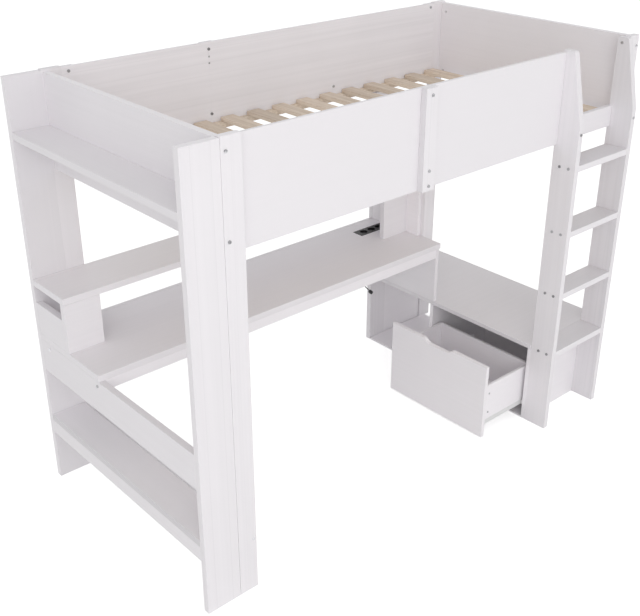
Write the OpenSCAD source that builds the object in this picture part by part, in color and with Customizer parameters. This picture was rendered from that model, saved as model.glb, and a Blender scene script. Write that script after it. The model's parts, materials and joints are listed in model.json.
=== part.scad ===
// Cabin bed: a high bed over a desk, open shelves, a drawer cabinet and a ladder.
// X runs along the bed from the shelf wing to the ladder end, Y from the front to the wall, Z up.
// The pieces are worked out from one corner: the wing's outer face, the front posts' front
// face and the floor. place() then moves them so that the origin is under the middle of the bed.

/* [Frame] */
// Length from the shelf wing's outer face to the right posts' outer face
bed_l = 2126; // [1960:1:2300]
// Depth from the front face of the front posts to the back face of the back posts
bed_d = 1020; // [940:1:1120]
// Height of the posts
post_h = 1588; // [1520:1:1700]
// Thickness of the posts, shelves and end panels
board_t = 25; // [22:0.5:28]
// Width of a post board
post_w = 73; // [65:1:85]
// Width of the wide wing boards beside the left posts
wing_w = 133; // [110:1:160]
// How much lower the wing boards stand than the posts
wing_drop = 3; // [0:1:8]
// Width of the right-hand post that stands beside the ladder
ladder_post_w = 59; // [50:1:70]

/* [Bed box] */
// How much lower the front guards' top is than the posts'
guard_drop = 10; // [6:1:20]
// Height of a guard panel
guard_h = 345; // [300:1:352]
// Thickness of a guard panel
guard_t = 13; // [10:0.5:16]
// How far the back guards' top stands above the front guards' top
back_guard_lift = 7; // [0:1:8]
// How far the back guards' lower edge stands above that of the rail behind them
back_guard_up = 7; // [0:1:10]
// Distance from the left end panel to the seam between the front guards
front_seam = 800; // [600:1:1000]
// Distance from the left end panel to the seam between the back guards
back_seam = 649; // [500:1:900]
// Width of the boards that cover the seams
strip_w = 56; // [40:1:90]
// Height of an end panel
end_panel_h = 336; // [300:1:352]
// How much lower the left end panel's top is than the posts'
left_panel_drop = 9; // [4:1:20]
// How much lower the right end panel's top is than the posts'
right_panel_drop = 6; // [4:1:20]
// Distance between the left post's outer edge and the end panel
end_panel_inset = 4; // [0:1:20]
// Height of the front side rail
side_rail_h = 81; // [70:1:100]
// Thickness of the front side rail
side_rail_t = 20; // [16:1:22]
// Height of the rail behind the back guards
outer_rail_h = 85; // [70:1:120]

/* [Slats] */
// Number of slats
slat_count = 15; // [10:1:18]
// Width of a slat
slat_w = 60; // [50:1:85]
// Thickness of a slat
slat_t = 16; // [14:1:24]
// Distance from the left end panel to the first slat
slat_start = 49; // [10:1:60]
// Distance from the last slat to the right end panel
slat_end = 39.4; // [10:0.1:60]
// Width of the strips that the slats lie on
ledge_w = 20; // [16:1:25]
// Height of the strips that the slats lie on
ledge_h = 24; // [16:1:25]
// Height of the slats' upper face above the front guards' lower edge
slat_level = 60; // [50:1:65]
// Gap at each end of a slat
slat_gap = 2; // [0.5:0.5:5]

/* [Ladder] */
// Clear width between the uprights
ladder_clear = 319; // [280:1:340]
// Distance from the right end panel to the right upright
ladder_from_end = 34; // [30:1:45]
// Thickness of an upright
upright_t = 25.5; // [22:0.5:28]
// How far the uprights stand out in front of the front posts
upright_out = 67; // [50:1:90]
// How far below the posts' top the upright's front edge starts to slope back
upright_knee_drop = 267; // [200:1:350]
// How far the upright still stands out at its top
upright_top_out = 10; // [0:1:40]
// Lower edge of the rail between the uprights, above the guards' lower edge
gap_rail_up = 4; // [0:1:20]
// Height of the rail between the uprights
gap_rail_h = 83; // [60:1:120]
// Radius of the upright's front top corner
upright_corner_r = 12; // [4:1:20]
// How much lower the uprights end than the posts
upright_drop = 3; // [0:1:20]
// Distance from the top tread's upper face to the guards' lower edge
top_tread_drop = 68.1; // [50:0.1:120]
// Depth of the three upper treads
tread_d = 98; // [80:1:104]

/* [Shelf wing] */
// How far below the posts' top the top shelf's upper face is
top_shelf_drop = 188; // [140:1:260]
// Height of the lower shelf's upper face
lower_shelf_z = 290; // [200:1:380]
// Height of the apron under the lower shelf
lower_apron_h = 57; // [40:1:80]
// Height of the end rail under the desk
end_rail_h = 130; // [100:1:180]

/* [Desk] */
// Height of the desk's upper face
desk_z = 645; // [560:1:760]
// Distance from the front posts' front face to the desk's front edge
desk_front = 582; // [480:1:620]
// Height of the aprons under the desk
desk_apron_h = 40; // [30:1:70]
// Height of the rail behind the desk
back_rail_h = 90; // [60:1:120]
// Height of the raised shelf's upper face
raised_shelf_z = 860; // [800:1:1000]
// Depth of the raised shelf
raised_shelf_d = 215; // [160:1:260]
// Width of the two boards that carry the raised shelf
support_w = 143; // [100:1:180]
// Height of the opening at the raised shelf's left end
cable_slot_h = 65; // [40:1:90]
// How far the raised shelf's right end board reaches in front of the shelf
end_board_out = 71; // [40:1:90]
// Width of the inner post
inner_post_w = 60; // [50:1:80]

/* [Power strip] */
// Length of the strip's face
strip_l = 172; // [150:1:220]
// Width of the strip's face
strip_d = 57; // [50:1:62]
// How far the strip's face stands above the desk
strip_proud = 1.5; // [0.5:0.5:4]
// Width of the rim around the strip's body
strip_rim = 8; // [6:0.5:9]
// Depth of the strip's body below the desk's upper face
strip_depth = 38; // [32:1:45]
// Distance from the strip to the raised shelf's right end board
strip_from_end = 14; // [5:1:40]
// Distance from the strip to the back posts
strip_from_back = 65; // [50:1:80]
// Diameter of a socket well
well_dia = 36; // [30:0.5:38]
// Depth of a socket well
well_deep = 12; // [8:0.5:16]
// Diameter of the lead
lead_dia = 5; // [4:0.5:7]
// Length of the strain relief that the lead comes out of
relief_l = 25; // [20:1:40]

/* [Cabinet] */
// Height of the cabinet
cabinet_h = 366; // [330:1:420]
// Thickness of the cabinet's boards
panel_t = 18; // [15:0.5:20]
// Thickness of the cabinet's base
base_t = 8; // [6:0.5:10]
// Depth of the cabinet, from its open face to its end panel
cabinet_d = 410; // [360:1:420]
// How far the cabinet's top reaches past the right posts
top_overhang = 12; // [0:1:20]
// How far the cabinet's top and the desk's support stand out past the cabinet's open face
top_lip = 9; // [0:1:12]
// Width of the drawer bay
bay_w = 534; // [450:1:600]
// Width of the post behind the cabinet
mid_post_w = 100; // [80:1:120]

/* [Drawer] */
// How far the drawer is pulled out
drawer_open = 262.5; // [0:0.5:262.5]
// Gap around the drawer's front
drawer_gap = 2; // [1:0.5:4]
// Length of the drawer's sides
drawer_l = 295; // [260:1:320]
// Height of the drawer's sides
drawer_side_h = 183; // [140:1:220]
// Height of the drawer sides' lower edge
drawer_side_z = 62; // [50:1:75]
// Thickness of the drawer's sides and back
drawer_t = 12; // [10:0.5:15]
// Thickness of the drawer's bottom
drawer_bottom_t = 5; // [3:0.5:6]
// Height of the bottom above the sides' lower edge
drawer_bottom_up = 9; // [7:0.5:14]
// Length of the bar that runs in a runner channel
runner_bar_l = 40; // [30:1:60]
// Width of the gap that holds a runner beside the drawer
runner_gap = 12.5; // [12:0.1:14]
// Length of the runners
runner_l = 285; // [240:1:300]
// Height of a runner channel
runner_h = 24; // [20:1:30]
// Thickness of the runners' metal
runner_t = 1.2; // [1:0.1:2]
// Play between the two halves of a runner
runner_play = 0.6; // [0.4:0.1:1]
// Width of the finger cut-out at its top
cutout_w = 175; // [120:1:220]
// Width of the finger cut-out at its bottom
cutout_bottom_w = 92; // [60:1:110]
// Depth of the finger cut-out
cutout_d = 18; // [12:1:26]

/* [Fasteners] */
// Diameter of a bolt's shank
bolt_dia = 6; // [5:0.5:7]
// Radial room around a bolt's shank
bolt_room = 0.3; // [0.2:0.05:0.6]
// Diameter of a bolt's head
head_dia = 11; // [10:0.5:16]
// Thickness of a bolt's head
head_t = 3; // [2:0.5:4]
// Size of the hexagon socket across its corners
hex_dia = 4.6; // [3:0.1:5]
// Diameter of a barrel nut
nut_dia = 10; // [9:0.5:11]
// Length of a barrel nut
nut_l = 14; // [10:0.5:16]
// Length of the bolts that end in a barrel nut
bolt_l = 60; // [50:1:70]
// Distance from a nut's middle to the bolt's end
nut_back = 7; // [6:1:10]

/* [Hidden] */

white = "#f3f2f4";
inner_white = "#e4e2e3";
pine = "#d9bf98";
black = "#26262a";
steel = "#5a5a5e";

// Planes that the pieces share
back_y = bed_d - board_t;                    // inner face of the back posts
left_in = wing_w + end_panel_inset + board_t; // inner face of the left end panel
right_in = bed_l - board_t;                  // inner face of the right end panel
guard_back = board_t + guard_t;              // back face of the front guards
guard_top = post_h - guard_drop;
guard_z = guard_top - guard_h;               // front guards' lower edge
end_panel_z = post_h - left_panel_drop - end_panel_h;
right_panel_z = post_h - right_panel_drop - end_panel_h;
top_shelf_z = post_h - top_shelf_drop;
outer_rail_z = guard_z + back_guard_lift;    // lower edge of the rail behind the back guards
back_guard_z = outer_rail_z + back_guard_up; // back guards' lower edge
back_guard_h = guard_h - back_guard_up;
slat_top = guard_z + slat_level;
slat_z = slat_top - slat_t;
slat_pitch = (right_in - left_in - slat_start - slat_end - slat_w) / (slat_count - 1);
tread_rise = (guard_z - top_tread_drop - cabinet_h) / 3;
right_upright_x = right_in - ladder_from_end - upright_t;
left_upright_x = right_upright_x - ladder_clear - upright_t;
cabinet_x = left_upright_x;                  // open face of the cabinet
desk_side = cabinet_x - top_lip;             // outer face of the desk's support
cabinet_back = cabinet_x + cabinet_d;
divider_y = guard_back + panel_t + bay_w;
bay_y = guard_back + panel_t;
front_seam_x = left_in + front_seam;
back_seam_x = left_in + back_seam;
desk_under = desk_z - board_t;
desk_end = cabinet_x + panel_t;
shelf_front = back_y - raised_shelf_d;
shelf_under = raised_shelf_z - board_t;
end_board_y = shelf_front - end_board_out;
nut_r = nut_dia / 2;
hole_r = bolt_dia / 2 + bolt_room;
tiny = 0.01;

// Moves a piece from the working corner to the frame with its origin under the bed's middle
front_y = -upright_out;
total_l = bed_l + top_overhang - head_t;
module place() {
    translate([-total_l / 2, -(bed_d + front_y) / 2, 0]) children();
}

// A board from its lowest corner and its size
module board(low, size) {
    translate(low) cube(size);
}

// Turns +Z to one of the six row directions
function turn(d) =
    d.x > 0 ? [0, 90, 0] : d.x < 0 ? [0, -90, 0] :
    d.y > 0 ? [-90, 0, 0] : d.y < 0 ? [90, 0, 0] :
    d.z > 0 ? [0, 0, 0] : [180, 0, 0];

/* Bolts: each entry is [point on the face under the head, direction of the shank,
   length of the shank, direction in which the barrel nut's bore opens]. */
end_bolt_zs = [post_h - 43, guard_z + 49];
end_panel_mid = left_in - board_t / 2;
right_panel_mid = bed_l - board_t / 2;
function end_bolts(x) = [
    for (z = end_bolt_zs) [[x, 0, z], [0, 1, 0], bolt_l, [1, 0, 0]],
    for (z = end_bolt_zs) [[x, bed_d, z], [0, -1, 0], bolt_l, [1, 0, 0]]];
left_end_bolts = end_bolts(end_panel_mid);
right_end_bolts = [for (b = end_bolts(right_panel_mid)) [b[0], b[1], b[2], [-1, 0, 0]]];
stretcher_x = wing_w + post_w - board_t;
stretcher_h = 57;
stretcher_z = lower_shelf_z - board_t - lower_apron_h - stretcher_h / 2;
stretcher_bolt_z = stretcher_z + stretcher_h / 2;
stretcher_bolts = [
    [[stretcher_x + board_t / 2, 0, stretcher_bolt_z], [0, 1, 0], bolt_l, [-1, 0, 0]],
    [[stretcher_x + board_t / 2, bed_d, stretcher_bolt_z], [0, -1, 0], bolt_l, [-1, 0, 0]]];
apron_bolt_z = desk_under - desk_apron_h / 2;
rear_apron_y = back_y - strip_from_back - strip_rim; // just behind the power strip's body
desk_bolts = [for (y = [desk_front, rear_apron_y])
    [[0, y + board_t / 2, apron_bolt_z], [1, 0, 0], bolt_l, [0, 0, -1]]];

// Bolts that clamp the seam boards, guards and side rails
seam_bolt_zs = [guard_top - 24, guard_z + side_rail_h - 11, guard_z + 18];
seam_bolt_l = board_t + guard_t + side_rail_t - 6;
front_seam_bolts = [
    [[front_seam_x, 0, seam_bolt_zs[0]], [0, 1, 0], board_t + guard_t, [0, 0, 0]],
    for (i = [1, 2]) [[front_seam_x, 0, seam_bolt_zs[i]], [0, 1, 0], seam_bolt_l, [0, 0, 0]]];
back_seam_z = guard_top + back_guard_lift - 26;
outer_rail_bolt_z = outer_rail_z + 0.847 * outer_rail_h;
outer_rail_mid_x = back_seam_x + 0.509 * (bed_l - post_w - back_seam_x);
back_seam_bolts = [
    [[back_seam_x, back_y, back_seam_z], [0, 1, 0], board_t - 3, [0, 0, 0]],
    for (x = [back_seam_x, outer_rail_mid_x])
        [[x, back_y, outer_rail_bolt_z], [0, 1, 0], board_t - 3, [0, 0, 0]]];

// Two small screws under the back seam's top bolt
seam_screw_zs = [back_seam_z - 28, back_seam_z - 52];
seam_screw_dia = 3.5;
module seam_screw_cuts() {
    for (z = seam_screw_zs) translate([back_seam_x, back_y - tiny, z]) rotate([-90, 0, 0])
        cylinder(r = seam_screw_dia / 2 + bolt_room, h = board_t - 2, $fn = 24);
}

// Bolts from the guards into the cleats beside the posts
cleat_w = 50;
cleat_bolt_z = guard_top + back_guard_lift - 16;
cleat_x_left = wing_w + post_w;
cleat_x_right = bed_l - post_w - cleat_w;
cleat_bolts = [for (x = [cleat_x_left, cleat_x_right])
    [[x + cleat_w / 2, back_y, cleat_bolt_z], [0, 1, 0], board_t - 3, [0, 0, 0]]];

// Bolts through the uprights into the treads
tread_bolt_y = -upright_out + 28;
left_rear_y = -upright_out + 68.5;
right_rear_y = -head_dia / 2 - 3; // in front of the right post, which covers the rest
function tread_top(i) = cabinet_h + i * tread_rise;
function tread_bolts(i) = let (z = tread_top(i) - board_t / 2) concat(
    [for (y = [tread_bolt_y, left_rear_y]) [[left_upright_x, y, z], [1, 0, 0], bolt_l, [0, 0, -1]]],
    [for (y = [tread_bolt_y, right_rear_y])
        [[right_upright_x + upright_t, y, z], [-1, 0, 0], bolt_l, [0, 0, -1]]]);
all_tread_bolts = [for (i = [0:3]) each tread_bolts(i)];

// Bolts through the uprights' front edges into the front side rail
edge_bolt_z = guard_z + 54;
edge_bolt_l = upright_out + guard_back + side_rail_t - 6;
edge_bolts = [for (x = [left_upright_x, right_upright_x])
    [[x + upright_t / 2, -upright_out, edge_bolt_z], [0, 1, 0], edge_bolt_l, [0, 0, 0]]];
// Bolt through the right upright into the post beside it; its nut ends at the post's back face
post_bolts = [[[right_upright_x, board_t - nut_l / 2, post_h - 23], [1, 0, 0], bolt_l, [0, 1, 0]]];

nut_bolts = concat(left_end_bolts, right_end_bolts, stretcher_bolts, desk_bolts,
    all_tread_bolts, post_bolts);
plain_bolts = concat(front_seam_bolts, back_seam_bolts, cleat_bolts, edge_bolts);
ALL_BOLTS = concat(nut_bolts, plain_bolts);

// Clearance holes, and the cross bore for each barrel nut
module bolt_cuts(list) {
    for (b = list)
        translate(b[0] - b[1] * tiny) rotate(turn(b[1]))
            cylinder(r = hole_r, h = b[2] + 1, $fn = 32);
    for (b = list)
        if (norm(b[3]) > 0)
            translate(b[0] + b[1] * (b[2] - nut_back) - b[3] * (nut_l / 2 + 0.5))
                rotate(turn(b[3])) cylinder(r = nut_r + bolt_room, h = board_t, $fn = 32);
}

// A bolt with a flanged head and a hexagon socket
module bolt(length) {
    difference() {
        union() {
            translate([0, 0, -head_t]) cylinder(r = head_dia / 2, h = head_t, $fn = 32);
            cylinder(r = bolt_dia / 2, h = length, $fn = 24);
        }
        translate([0, 0, -head_t - tiny]) cylinder(r = hex_dia / 2, h = head_t, $fn = 6);
    }
}

module frame_bolts() {
    color(steel) place()
        for (b = ALL_BOLTS) translate(b[0]) rotate(turn(b[1])) bolt(b[2]);
    color(steel) place()
        for (z = seam_screw_zs) translate([back_seam_x, back_y, z]) rotate([-90, 0, 0]) {
            translate([0, 0, -1.5]) cylinder(r = seam_screw_dia, h = 1.5, $fn = 24);
            cylinder(r = seam_screw_dia / 2, h = board_t - 4, $fn = 20);
        }
}

// Barrel nuts: short cylinders with a cross hole for the bolt
module barrel_nuts() {
    color(steel) place()
        for (b = nut_bolts)
            translate(b[0] + b[1] * (b[2] - nut_back)) difference() {
                rotate(turn(b[3])) translate([0, 0, -nut_l / 2])
                    cylinder(r = nut_r, h = nut_l, $fn = 32);
                rotate(turn(b[1])) translate([0, 0, -nut_dia])
                    cylinder(r = hole_r, h = 2 * nut_dia, $fn = 24);
            }
}

// ---- Posts and wing boards ----
wing_h = post_h - wing_drop;
module wing_board_front() {
    color(white) place() board([0, 0, 0], [wing_w, board_t, wing_h]);
}
module wing_board_back() {
    color(white) place() board([0, back_y, 0], [wing_w, board_t, wing_h]);
}
module front_left_post() {
    color(white) place() difference() {
        board([wing_w, 0, 0], [post_w, board_t, post_h]);
        bolt_cuts(concat(left_end_bolts, stretcher_bolts));
    }
}
module back_left_post() {
    color(white) place() difference() {
        board([wing_w, back_y, 0], [post_w, board_t, post_h]);
        bolt_cuts(concat(left_end_bolts, stretcher_bolts));
    }
}
module front_right_post() {
    color(white) place() difference() {
        board([bed_l - ladder_post_w, 0, 0], [ladder_post_w, board_t, post_h]);
        bolt_cuts(concat(right_end_bolts, post_bolts));
    }
}
module back_right_post() {
    color(white) place() difference() {
        board([bed_l - post_w, back_y, 0], [post_w, board_t, post_h]);
        bolt_cuts(right_end_bolts);
    }
}
// Post behind the cabinet; it ends under the rail behind the back guards
module mid_back_post() {
    color(white) place() board([cabinet_x, back_y, 0], [mid_post_w, board_t, outer_rail_z]);
}
// Post on the cabinet's top that props up a slat
module inner_post() {
    color(white) place() board([desk_end, end_board_y - board_t + 5, cabinet_h],
        [inner_post_w, board_t, slat_z - cabinet_h]);
}

// ---- Ladder ----
// Side outline of an upright: straight to the knee, then sloping back to a round corner
upright_top = post_h - upright_drop;
upright_knee_z = post_h - upright_knee_drop;
slope_len = norm([upright_out - upright_top_out, upright_top - upright_knee_z]);
slope_dir = [upright_out - upright_top_out, upright_top - upright_knee_z] / slope_len;
slope_angle = atan2(slope_dir.y, slope_dir.x);
// Distance from the corner to where the round starts
corner_back = upright_corner_r / tan((180 - slope_angle) / 2);
corner = [-upright_top_out, upright_top];
corner_centre = corner + [corner_back, -upright_corner_r];
function upright_outline() = concat(
    [[guard_back, 0], [guard_back, upright_top]],
    [for (a = [0:6]) let (t = 90 + a * slope_angle / 6)
        corner_centre + upright_corner_r * [cos(t), sin(t)]],
    [[-upright_out, upright_knee_z], [-upright_out, 0]]);
module upright(x) {
    difference() {
        translate([x, 0, 0]) rotate([90, 0, 90]) linear_extrude(upright_t)
            polygon(upright_outline());
        bolt_cuts(concat(all_tread_bolts, edge_bolts, post_bolts));
    }
}
module ladder_upright_left() {
    color(white) place() upright(left_upright_x);
}
module ladder_upright_right() {
    color(white) place() upright(right_upright_x);
}
// Treads count from the bottom; the lowest meets the cabinet's top
module tread(i) {
    depth = i == 0 ? upright_out + guard_back : tread_d;
    difference() {
        board([left_upright_x + upright_t, -upright_out, tread_top(i) - board_t],
            [ladder_clear, depth, board_t]);
        bolt_cuts(tread_bolts(i));
    }
}
module ladder_tread_1() {
    color(white) place() tread(0);
}
module ladder_tread_2() {
    color(white) place() tread(1);
}
module ladder_tread_3() {
    color(white) place() tread(2);
}
module ladder_tread_4() {
    color(white) place() tread(3);
}

// ---- Bed box ----
module left_end_panel() {
    color(white) place() difference() {
        board([left_in - board_t, board_t, end_panel_z],
            [board_t, back_y - board_t, end_panel_h]);
        bolt_cuts(left_end_bolts);
    }
}
module right_end_panel() {
    color(white) place() difference() {
        board([right_in, board_t, right_panel_z], [board_t, back_y - board_t, end_panel_h]);
        bolt_cuts(right_end_bolts);
    }
}
module front_guard_left() {
    color(white) place() difference() {
        board([left_in, board_t, guard_z], [front_seam_x - left_in, guard_t, guard_h]);
        bolt_cuts(front_seam_bolts);
    }
}
module front_guard_right() {
    color(white) place() difference() {
        board([front_seam_x, board_t, guard_z],
            [left_upright_x - front_seam_x, guard_t, guard_h]);
        bolt_cuts(front_seam_bolts);
    }
}
module front_seam_board() {
    color(white) place() difference() {
        board([front_seam_x - strip_w / 2, 0, guard_z], [strip_w, board_t, guard_h]);
        bolt_cuts(front_seam_bolts);
    }
}
back_start = wing_w + post_w;
back_end = bed_l - post_w;
module back_guard_left() {
    color(white) place() difference() {
        board([back_start, back_y, back_guard_z],
            [back_seam_x - back_start, guard_t, back_guard_h]);
        bolt_cuts(concat(back_seam_bolts, cleat_bolts));
        seam_screw_cuts();
    }
}
module back_guard_right() {
    color(white) place() difference() {
        board([back_seam_x, back_y, back_guard_z],
            [back_end - back_seam_x, guard_t, back_guard_h]);
        bolt_cuts(concat(back_seam_bolts, cleat_bolts));
        seam_screw_cuts();
    }
}
// The board over the back seam and the two cleats beside the posts, above the outer rail
module back_guard_cleats() {
    color(white) place() difference() {
        for (c = [[back_seam_x - strip_w / 2, strip_w], [cleat_x_left, cleat_w],
                  [cleat_x_right, cleat_w]])
            board([c.x, back_y + guard_t, outer_rail_z + outer_rail_h],
                [c.y, board_t - guard_t, guard_h - outer_rail_h]);
        bolt_cuts(concat(back_seam_bolts, cleat_bolts));
        seam_screw_cuts();
    }
}
module side_rail_front() {
    color(white) place() difference() {
        board([left_in, guard_back, guard_z], [right_in - left_in, side_rail_t, side_rail_h]);
        bolt_cuts(concat(front_seam_bolts, edge_bolts));
    }
}
// Rail behind the back guards, flush with the posts' back faces
module side_rail_back() {
    color(white) place() difference() {
        board([back_start, back_y + guard_t, outer_rail_z],
            [back_end - back_start, board_t - guard_t, outer_rail_h]);
        bolt_cuts(back_seam_bolts);
    }
}
module ladder_gap_rail() {
    color(white) place() board([left_upright_x + upright_t, board_t, guard_z + gap_rail_up],
        [ladder_clear, guard_t, gap_rail_h]);
}
// Strips that carry the slats: along the front rail and along the back guards
ledge_ys = [guard_back + side_rail_t, back_y - ledge_w];
module slat_ledges() {
    color(pine) place()
        for (y = ledge_ys)
            board([left_in, y, slat_z - ledge_h], [right_in - left_in, ledge_w, ledge_h]);
}
slat_y = guard_back + side_rail_t + slat_gap;
slat_l = back_y - slat_gap - slat_y;
module slats() {
    color(pine) place()
        for (i = [0:slat_count - 1])
            board([left_in + slat_start + i * slat_pitch, slat_y, slat_z],
                [slat_w, slat_l, slat_t]);
}

// ---- Shelf wing ----
shelf_w = wing_w + end_panel_inset;
module top_shelf() {
    color(white) place() board([0, board_t, top_shelf_z - board_t],
        [shelf_w, back_y - board_t, board_t]);
}
module lower_shelf() {
    color(white) place() board([0, board_t, lower_shelf_z - board_t],
        [shelf_w, back_y - board_t, board_t]);
}
module lower_shelf_apron() {
    color(white) place() board([0, board_t, lower_shelf_z - board_t - lower_apron_h],
        [board_t, back_y - board_t, lower_apron_h]);
}
module lower_stretcher() {
    color(white) place() difference() {
        board([stretcher_x, board_t, stretcher_z], [board_t, back_y - board_t, stretcher_h]);
        bolt_cuts(stretcher_bolts);
    }
}
module end_rail() {
    color(white) place() difference() {
        board([0, board_t, desk_under - end_rail_h], [board_t, back_y - board_t, end_rail_h]);
        bolt_cuts(desk_bolts);
    }
}

// ---- Desk ----
strip_x = cabinet_x - strip_from_end - strip_l;
strip_y = back_y - strip_from_back - strip_d;
module desktop() {
    color(white) place() difference() {
        board([0, desk_front, desk_under], [desk_end, back_y - desk_front, board_t]);
        board([strip_x + strip_rim, strip_y + strip_rim, desk_under - 1],
            [strip_l - 2 * strip_rim, strip_d - 2 * strip_rim, board_t + 2]);
    }
}
module desk_apron(y) {
    difference() {
        board([board_t, y, desk_under - desk_apron_h],
            [desk_side - board_t, board_t, desk_apron_h]);
        bolt_cuts(desk_bolts);
    }
}
module desk_front_apron() {
    color(white) place() desk_apron(desk_front);
}
module desk_rear_apron() {
    color(white) place() desk_apron(rear_apron_y);
}
module desk_back_rail() {
    color(white) place() board([back_start, back_y, desk_z - back_rail_h],
        [cabinet_x - back_start, panel_t, back_rail_h]);
}
module desk_support_panel() {
    color(white) place() board([desk_side, desk_front, cabinet_h],
        [panel_t, back_y - desk_front, desk_under - cabinet_h]);
}
module raised_shelf() {
    color(white) place() board([0, shelf_front, shelf_under],
        [cabinet_x, raised_shelf_d, board_t]);
}
module raised_shelf_supports() {
    color(white) place()
        for (x = [0, cabinet_x - support_w])
            board([x, shelf_front, desk_z], [support_w, board_t, shelf_under - desk_z]);
}
// Closes the raised shelf's left end up to the cable opening
module raised_shelf_left_end() {
    color(white) place() board([0, shelf_front + board_t, desk_z],
        [board_t, raised_shelf_d - board_t, shelf_under - cable_slot_h - desk_z]);
}
module raised_shelf_right_end() {
    color(white) place() board([cabinet_x, end_board_y, desk_z],
        [panel_t, back_y - end_board_y, raised_shelf_z - desk_z]);
}

// ---- Power strip and its lead ----
strip_fit = 0.3;
body_x = strip_x + strip_rim + strip_fit;
body_y = strip_y + strip_rim + strip_fit;
body_l = strip_l - 2 * (strip_rim + strip_fit);
body_d = strip_d - 2 * (strip_rim + strip_fit);
well_xs = [for (i = [-1, 0, 1]) strip_x + strip_l / 2 + i * body_l / 3.3];
well_y = strip_y + strip_d / 2;
module power_strip_body() {
    color(black) place() difference() {
        union() {
            board([strip_x, strip_y, desk_z], [strip_l, strip_d, strip_proud]);
            board([body_x, body_y, desk_z - strip_depth], [body_l, body_d, strip_depth]);
            translate(lead_exit)
                cylinder(r1 = lead_dia / 2 + 0.8, r2 = lead_dia + 1, h = relief_l, $fn = 32);
        }
        for (x = well_xs) translate([x, well_y, desk_z + strip_proud - well_deep])
            cylinder(r = well_dia / 2, h = well_deep + 1, $fn = 48);
    }
}
// A round insert at the bottom of each well, with two pin holes and a centre pip
module power_strip_sockets() {
    color("#1b1b1e") place()
        for (x = well_xs) translate([x, well_y, desk_z + strip_proud - well_deep]) difference() {
            union() {
                cylinder(r = well_dia / 2 - strip_fit, h = 3, $fn = 48);
                cylinder(r = 3, h = 5, $fn = 24);
            }
            for (s = [-1, 1]) translate([s * 9.5, 0, 1]) cylinder(r = 2.4, h = 3, $fn = 20);
        }
}
// The lead's route from the tip of its strain relief to its connector, as steps from there
lead_exit = [strip_x + strip_l / 2 + 13, well_y + 1.5, desk_z - strip_depth - relief_l];
lead_steps = [
    [0, 0, 0], [0, 0, -11.5], [0, 0.5, -22.5], [0, 2, -33.5], [0, 3.5, -45], [0, 6, -56],
    [0, 8, -67], [0, 11, -78], [0, 14, -89], [0, 17, -99.5], [0.5, 20.5, -110.5],
    [0.5, 24, -121], [1, 27.5, -132], [1.5, 31, -142.5], [2, 35, -153], [2.5, 38.5, -163.5],
    [3.5, 42.5, -174], [4.5, 46.5, -184.5], [6, 50, -195], [7.5, 54, -205.5], [9, 57.5, -216],
    [11.5, 61.5, -226.5], [14, 64.5, -237], [18, 67.5, -247.5], [22.5, 70, -257.5],
    [28.5, 71, -266.5], [36, 71, -275], [44, 71, -283.5], [51.5, 71, -292], [59, 71, -300]];
lead_route = [for (step = lead_steps) lead_exit + step];
lead_sides = 8;
function lead_axis(i) = let (n = len(lead_route),
    a = lead_route[max(i - 1, 0)], b = lead_route[min(i + 1, n - 1)],
    square = i == 0 ? [0, 0, -1] : b - a) square / norm(square);
function lead_ring(i) = let (t = lead_axis(i), u = cross(t, [0, 1, 0]) / norm(cross(t, [0, 1, 0])),
    v = cross(t, u))
    [for (k = [0:lead_sides - 1]) let (a = 360 * k / lead_sides)
        lead_route[i] + lead_dia / 2 * (cos(a) * u + sin(a) * v)];
module power_lead() {
    n = len(lead_route);
    s = lead_sides;
    points = [for (i = [0:n - 1]) each lead_ring(i)];
    faces = concat(
        [[for (k = [0:s - 1]) k]],
        [for (i = [0:n - 2], k = [0:s - 1]) each [
            [i * s + k, (i + 1) * s + k, (i + 1) * s + (k + 1) % s],
            [i * s + k, (i + 1) * s + (k + 1) % s, i * s + (k + 1) % s]]],
        [[for (k = [0:s - 1]) (n - 1) * s + s - 1 - k]]);
    color(black) place() polyhedron(points, faces);
}
// Small in-line connector at the lead's end, along the lead's last run
lead_end = lead_route[len(lead_route) - 1];
lead_end_axis = lead_axis(len(lead_route) - 1);
lead_tilt = acos(lead_end_axis.z);
lead_spin = atan2(lead_end_axis.y, lead_end_axis.x);
module lead_connector() {
    color(black) place() translate(lead_end) rotate([0, lead_tilt, lead_spin])
        translate([-8, -7, 0]) cube([16, 14, 20]);
}

// ---- Cabinet ----
top_z = cabinet_h - panel_t;
notch_room = 0.5;
module cabinet_top() {
    color(white) place() difference() {
        board([desk_side, guard_back, top_z], [bed_l + top_overhang - desk_side,
            bed_d - guard_back, panel_t]);
        board([desk_side - 1, back_y, top_z - 1],
            [top_lip + mid_post_w + 1 + notch_room, board_t + 1, panel_t + 2]);
        board([bed_l - post_w - notch_room, back_y, top_z - 1],
            [post_w + top_overhang + 2, board_t + 1, panel_t + 2]);
    }
}
module cabinet_front_panel() {
    color(white) place() board([cabinet_x, guard_back, 0], [cabinet_d, panel_t, top_z]);
}
module cabinet_divider() {
    color(inner_white) place() board([cabinet_x, divider_y, base_t],
        [cabinet_d - panel_t, panel_t, top_z - base_t]);
}
module cabinet_rear_panel() {
    color(inner_white) place() board([cabinet_x + mid_post_w, bed_d - panel_t, 0],
        [bed_l - post_w - cabinet_x - mid_post_w, panel_t, top_z]);
}
module cabinet_end_panel() {
    color(inner_white) place() board([cabinet_back - panel_t, bay_y, 0],
        [panel_t, divider_y + panel_t - bay_y, top_z]);
}
module cabinet_base() {
    color(inner_white) place() board([cabinet_x, bay_y, 0],
        [cabinet_d - panel_t, back_y - bay_y, base_t]);
}

// ---- Drawer and runners ----
bay_mid = (bay_y + divider_y) / 2;
drawer_x = cabinet_x - drawer_open;
drawer_w = bay_w - 2 * runner_gap;
front_w = bay_w - 2 * drawer_gap;
front_z = base_t + drawer_gap;
front_h = top_z - drawer_gap - front_z;
box_x = drawer_x + panel_t;
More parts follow.
